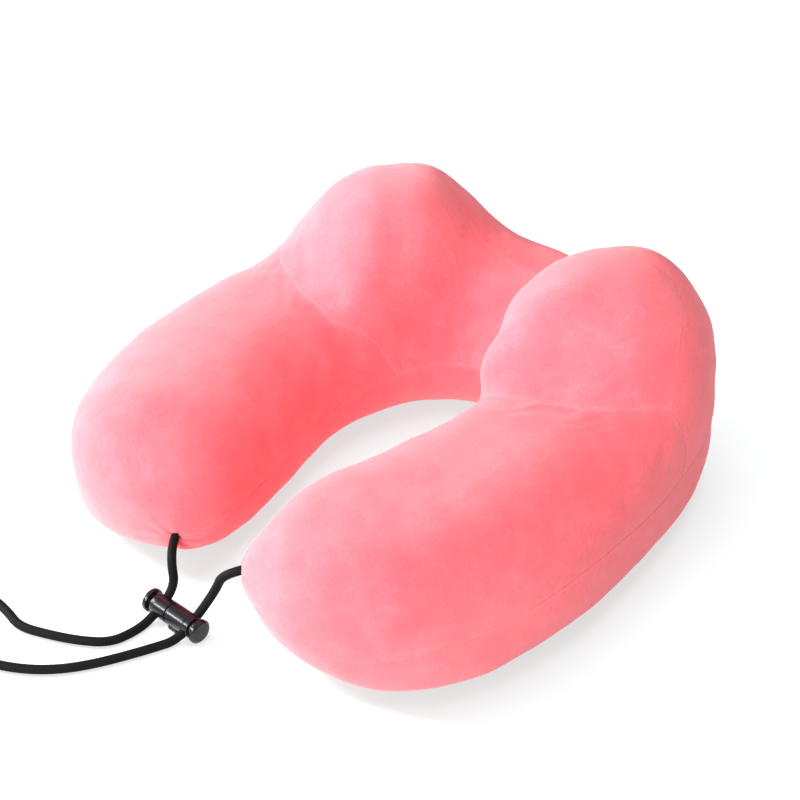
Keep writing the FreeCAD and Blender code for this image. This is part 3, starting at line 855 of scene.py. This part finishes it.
def velour_material(name, painted_lift):
    """Short pile. A share lifts its colour paler: painted sheen, standing in for the light that catches the
    head rests' tops.
    """
    material, tree, shader, place = new_material(name)
    broad = noise(tree, place, 19.0, 3.0, 0.5)
    brushed = noise(tree, place, 70.0, 4.0, 0.6, 0.3)
    tufts = noise(tree, place, 620.0, 3.0, 0.6)
    fine = noise(tree, place, 1900.0, 2.0, 0.6)
    broad_share, brushed_share = maths(tree, "MULTIPLY", broad, 0.6), maths(tree, "MULTIPLY", brushed, 0.4)
    tone = maths(tree, "ADD", broad_share, brushed_share)
    # painted paler sheen: G and B lifted by the given share
    lift = 1 + painted_lift
    tones = [(0.38, 0.93, 0.078, 0.104), (0.50, 0.94, 0.098, 0.126), (0.64, 0.95, 0.128, 0.158)]
    colour = ramp(tree, tone, [(at, (r, g * lift, b * lift)) for at, r, g, b in tones])
    speck = ramp(tree, tufts, [
        (0.30, (0.90, 0.86, 0.86)), (0.52, (1.0, 1.0, 1.0)), (0.72, (1.0, 1.12, 1.12))])
    colour = multiplied(tree, colour, speck)
    seam = add(tree, "ShaderNodeAttribute", attribute_name="seam").outputs["Fac"]
    # Paler along the seams: painted sheen, a highlight line where the cover curves into a seam.
    painted_seam_sheen = ramp(tree, seam, [(0.0, (1.0, 1.0, 1.0)), (0.5, (1.0, 1.12, 1.10)), (0.95, (1.0, 1.26, 1.21))])
    link(tree, multiplied(tree, colour, painted_seam_sheen), shader.inputs["Base Color"])
    shader.inputs["Roughness"].default_value = 0.9
    shader.inputs["Specular IOR Level"].default_value = 0.15
    shader.inputs["Sheen Weight"].default_value = 0.40
    shader.inputs["Sheen Roughness"].default_value = 0.7
    shader.inputs["Sheen Tint"].default_value = (1.0, 0.80, 0.82, 1.0)
    soft = bump(tree, shader, brushed, 0.0006, 0.2)
    nap = bump(tree, shader, tufts, 0.0003, 0.4, soft)
    bump(tree, shader, fine, 0.00012, 0.4, nap)
    return material


def plastic_material(name, colour, roughness):
    material, tree, shader, place = new_material(name)
    cloud = noise(tree, place, 260.0, 4.0, 0.6)
    grain = noise(tree, place, 2600.0, 3.0, 0.6)
    shade = ramp(tree, cloud, [(0.35, colour), (0.7, tuple(c * 1.1 for c in colour))])
    link(tree, shade, shader.inputs["Base Color"])
    dull = ramp(tree, cloud, [(0.3, (roughness * 0.94,) * 3), (0.75, (roughness * 1.08,) * 3)])
    link(tree, dull, shader.inputs["Roughness"])
    shader.inputs["Specular IOR Level"].default_value = 0.45
    bump(tree, shader, grain, 0.00003, 0.35)
    return material


def cord_material():
    material, tree, shader, place = new_material("black_braid")
    crown = add(tree, "ShaderNodeAttribute", attribute_name="crown").outputs["Fac"]
    fibre = noise(tree, place, 3200.0, 3.0, 0.6)
    # Darker where the braid sinks between its strands: painted shade in its hollows.
    shade = ramp(tree, crown, [(0.15, (0.001, 0.001, 0.001)), (0.9, (0.009, 0.009, 0.009))])
    fleck = ramp(tree, fibre, [(0.35, (0.7, 0.7, 0.7)), (0.7, (1.5, 1.5, 1.5))])
    link(tree, multiplied(tree, shade, fleck), shader.inputs["Base Color"])
    shader.inputs["Roughness"].default_value = 0.62
    shader.inputs["Specular IOR Level"].default_value = 0.06
    bump(tree, shader, fibre, 0.00012, 0.6)
    return material


def cloth_material(name, colour, scale, sheen):
    material, tree, shader, place = new_material(name)
    weave = add(tree, "ShaderNodeTexWave", _Scale=scale, _Distortion=1.5, _Detail=2.0)
    link(tree, place, weave.inputs["Vector"])
    cloud = noise(tree, place, 60.0, 4.0)
    shade = ramp(tree, cloud, [(0.3, tuple(c * 0.9 for c in colour)), (0.7, colour)])
    thread = ramp(tree, weave.outputs["Fac"], [(0.0, (0.82, 0.82, 0.82)), (1.0, (1.05, 1.05, 1.05))])
    link(tree, multiplied(tree, shade, thread), shader.inputs["Base Color"])
    shader.inputs["Roughness"].default_value = 0.85
    shader.inputs["Sheen Weight"].default_value = sheen
    bump(tree, shader, weave.outputs["Fac"], 0.00012, 0.6)
    return material


def foam_material():
    material, tree, shader, place = new_material("open_cell_foam")
    cells = add(tree, "ShaderNodeTexVoronoi", _Scale=900.0)
    link(tree, place, cells.inputs["Vector"])
    # Darker at the middle of each cell, where the bump sinks: painted shade in the pores.
    shade = ramp(tree, cells.outputs["Distance"], [(0.0, (0.55, 0.49, 0.33)), (0.5, (0.86, 0.79, 0.58))])
    link(tree, shade, shader.inputs["Base Color"])
    shader.inputs["Roughness"].default_value = 0.95
    bump(tree, shader, cells.outputs["Distance"], 0.0004, 0.6)
    return material


def metal_material(name, colour, roughness, metallic):
    material, tree, shader, place = new_material(name)
    scuff = noise(tree, place, 900.0, 5.0, 0.65)
    shade = ramp(tree, scuff, [(0.3, tuple(c * 0.85 for c in colour)), (0.7, colour)])
    link(tree, shade, shader.inputs["Base Color"])
    dull = ramp(tree, scuff, [(0.3, (roughness * 0.8,) * 3), (0.7, (roughness * 1.3,) * 3)])
    link(tree, dull, shader.inputs["Roughness"])
    shader.inputs["Metallic"].default_value = metallic
    bump(tree, shader, scuff, 0.00003, 0.4)
    return material


def dress(node, material):
    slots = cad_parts[node].data.materials
    slots.clear()
    slots.append(material)


# ---------------------------------------------------------------- drawstring
def hole_point(side, along):
    """Point on a cord hole's axis, along millimetres past the lock's middle."""
    tilt = math.radians(LOCK_TILT)
    x, y, z = LOCK_AT
    return (x + side * HOLE_AT, y - math.cos(tilt) * along, z - math.sin(tilt) * along)


def cord_route():
    """Left arm tip, lock, loop on the table, lock, right arm tip."""
    floor = CORD_R + 0.1
    points = ROUTE_LEFT + [hole_point(-1, ROUTE_IN), hole_point(-1, ROUTE_OUT)]
    points += [(x, y, floor) for x, y in ROUTE_LOOP]
    return points + [hole_point(1, ROUTE_OUT), hole_point(1, ROUTE_IN)] + ROUTE_RIGHT


def smooth_line(route):
    """Points along the NURBS spline that has the route as its control points, in millimetres."""
    data = bpy.data.curves.new("cord_route", "CURVE")
    data.dimensions = "3D"
    data.resolution_u = 24
    spline = data.splines.new("NURBS")
    spline.points.add(len(route) - 1)
    for point, place in zip(spline.points, route):
        point.co = (*[c * MM for c in place], 1.0)
    spline.order_u = 3
    spline.use_endpoint_u = True
    guide = bpy.data.objects.new("cord_route", data)
    bpy.context.scene.collection.objects.link(guide)
    bpy.context.view_layer.update()
    mesh = bpy.data.meshes.new_from_object(guide.evaluated_get(bpy.context.evaluated_depsgraph_get()))
    line = np.array([v.co for v in mesh.vertices], float) / MM
    bpy.data.objects.remove(guide)
    bpy.data.meshes.remove(mesh)
    return line


def even_line(line, step):
    """The same line with points about a step apart, and how far along it each lies."""
    length = np.concatenate([[0], np.cumsum(np.linalg.norm(np.diff(line, axis=0), axis=1))])
    count = int(length[-1] / step)
    places = np.linspace(0, length[-1], count + 1)
    return np.stack([np.interp(places, length, line[:, k]) for k in range(3)], 1), places


def carried_frames(line):
    """Two directions across the line at each point, carried along it without twist."""
    tangent = np.gradient(line, axis=0)
    tangent /= np.linalg.norm(tangent, axis=1, keepdims=True)
    first = np.cross(tangent[0], [0, 0, 1.0])
    first /= np.linalg.norm(first)
    sides = [first]
    for t in tangent[1:]:
        side = sides[-1] - t * np.dot(sides[-1], t)
        sides.append(side / np.linalg.norm(side))
    sides = np.array(sides)
    return sides, np.cross(tangent, sides)


def make_cord(material):
    line = smooth_line(cord_route())
    line, travel = even_line(line, BRAID_STEP)
    side, other = carried_frames(line)
    around = BRAID_AROUND
    angle = 2 * np.pi * np.arange(around) / around
    a = (angle[None, :] / (2 * np.pi) + travel[:, None] / BRAID_PITCH) * BRAID_CARRIERS
    b = (angle[None, :] / (2 * np.pi) - travel[:, None] / BRAID_PITCH) * BRAID_CARRIERS
    crown = np.zeros_like(a)
    for strand, crossing, sign in ((a, b, 1), (b, a, -1)):
        parity = np.where(np.floor(strand) % 2 == 0, 1.0, -1.0)
        lift = sign * parity * np.sin(np.pi * crossing)
        place = 2 * (strand - np.floor(strand)) - 1
        crown = np.maximum(crown, np.sqrt(1 - 0.92 * place ** 2) * (0.62 + 0.38 * lift))
    radius = CORD_R + BRAID_RELIEF * (crown - 0.6)
    ring = (
        line[:, None, :]
        + side[:, None, :] * (np.cos(angle)[None, :] * radius)[..., None]
        + other[:, None, :] * (np.sin(angle)[None, :] * radius)[..., None]
    )
    obj = mesh_object("braided_drawstring", ring.reshape(-1, 3), tube_faces(len(line), around))
    layer = obj.data.attributes.new("crown", "FLOAT", "POINT")
    layer.data.foreach_set("value", crown.reshape(-1).astype(np.float32))
    obj.data.materials.append(material)
    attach(obj, "pillow")
    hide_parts("drawstring_cord")


# ---------------------------------------------------------------- studio
def area_light(name, place, target, size, power):
    data = bpy.data.lights.new(name, "AREA")
    data.size = size
    data.energy = power
    light = bpy.data.objects.new(name, data)
    bpy.context.scene.collection.objects.link(light)
    light.location = place
    light.rotation_mode = "QUATERNION"
    light.rotation_quaternion = (Vector(target) - Vector(place)).to_track_quat("-Z", "Y")
    return light


def make_studio():
    scene = bpy.context.scene
    scene.view_settings.view_transform = "Standard"
    world = bpy.data.worlds.new("studio")
    world.use_nodes = True
    world.node_tree.nodes["Background"].inputs["Color"].default_value = (1.0, 1.0, 1.0, 1.0)
    world.node_tree.nodes["Background"].inputs["Strength"].default_value = WORLD_STRENGTH
    scene.world = world
    reach = TABLE_REACH
    corners = [(-reach, -reach, 0), (reach, -reach, 0), (reach, reach, 0), (-reach, reach, 0)]
    floor = mesh_object("floor", corners, [[0, 1, 2, 3]])
    material, tree, shader, place = new_material("lit_acrylic")
    shade = ramp(tree, noise(tree, place, 3.0), [(0.3, (0.075, 0.080, 0.080)), (0.7, (0.08, 0.085, 0.085))])
    link(tree, shade, shader.inputs["Base Color"])
    shader.inputs["Roughness"].default_value = 0.6
    shader.inputs["Specular IOR Level"].default_value = 0.2
    shader.inputs["Emission Color"].default_value = (1.0, 1.0, 1.0, 1.0)
    shader.inputs["Emission Strength"].default_value = TABLE_GLOW
    floor.data.materials.append(material)
    only_floor = bpy.data.collections.new("only_floor")
    only_floor.objects.link(floor)
    for name, place, aim, size, power, table_only in LIGHTS_M:
        light = area_light(name, place, aim, size, power)
        if table_only:
            light.light_linking.receiver_collection = only_floor


# ---------------------------------------------------------------- scene
make_camera()
make_lock(plastic_material("black_gloss_plastic", (0.005, 0.005, 0.007), 0.21))
spring_steel = metal_material("spring_steel", (0.6, 0.6, 0.62), 0.3, 1.0)
make_spring(-1, "left", spring_steel)
make_spring(1, "right", spring_steel)
make_cord(cord_material())
# The head rests get a paler copy of the velour: painted sheen for the light on their tops.
make_cover(velour_material("coral_velour", 0.0), velour_material("coral_velour_painted_paler", 0.20))
jersey = cloth_material("white_jersey", (0.85, 0.84, 0.82), 700.0, 0.2)
make_layer("liner_sock", "inner_liner", LINER_DEPTH, LINER_END, jersey)
make_layer("foam_body", "foam_core", FOAM_DEPTH, FOAM_END, foam_material())
zip_paint = metal_material("coral_enamel", (0.75, 0.10, 0.13), 0.35, 0.0)
for node in ("zip_slider", "zip_pull_tab", "zip_top_stop", "zip_bottom_stop"):
    dress(node, zip_paint)
for node in ("zip_chain_upper", "zip_chain_lower"):
    dress(node, plastic_material("coral_nylon", (0.75, 0.12, 0.15), 0.4))
for node in ("zip_tape_upper", "zip_tape_lower"):
    dress(node, cloth_material("coral_tape", (0.78, 0.11, 0.14), 900.0, 0.2))
for node in ("cord_bar_tack_left", "cord_bar_tack_right"):
    dress(node, cloth_material("coral_thread", (0.6, 0.09, 0.12), 1500.0, 0.1))
make_studio()
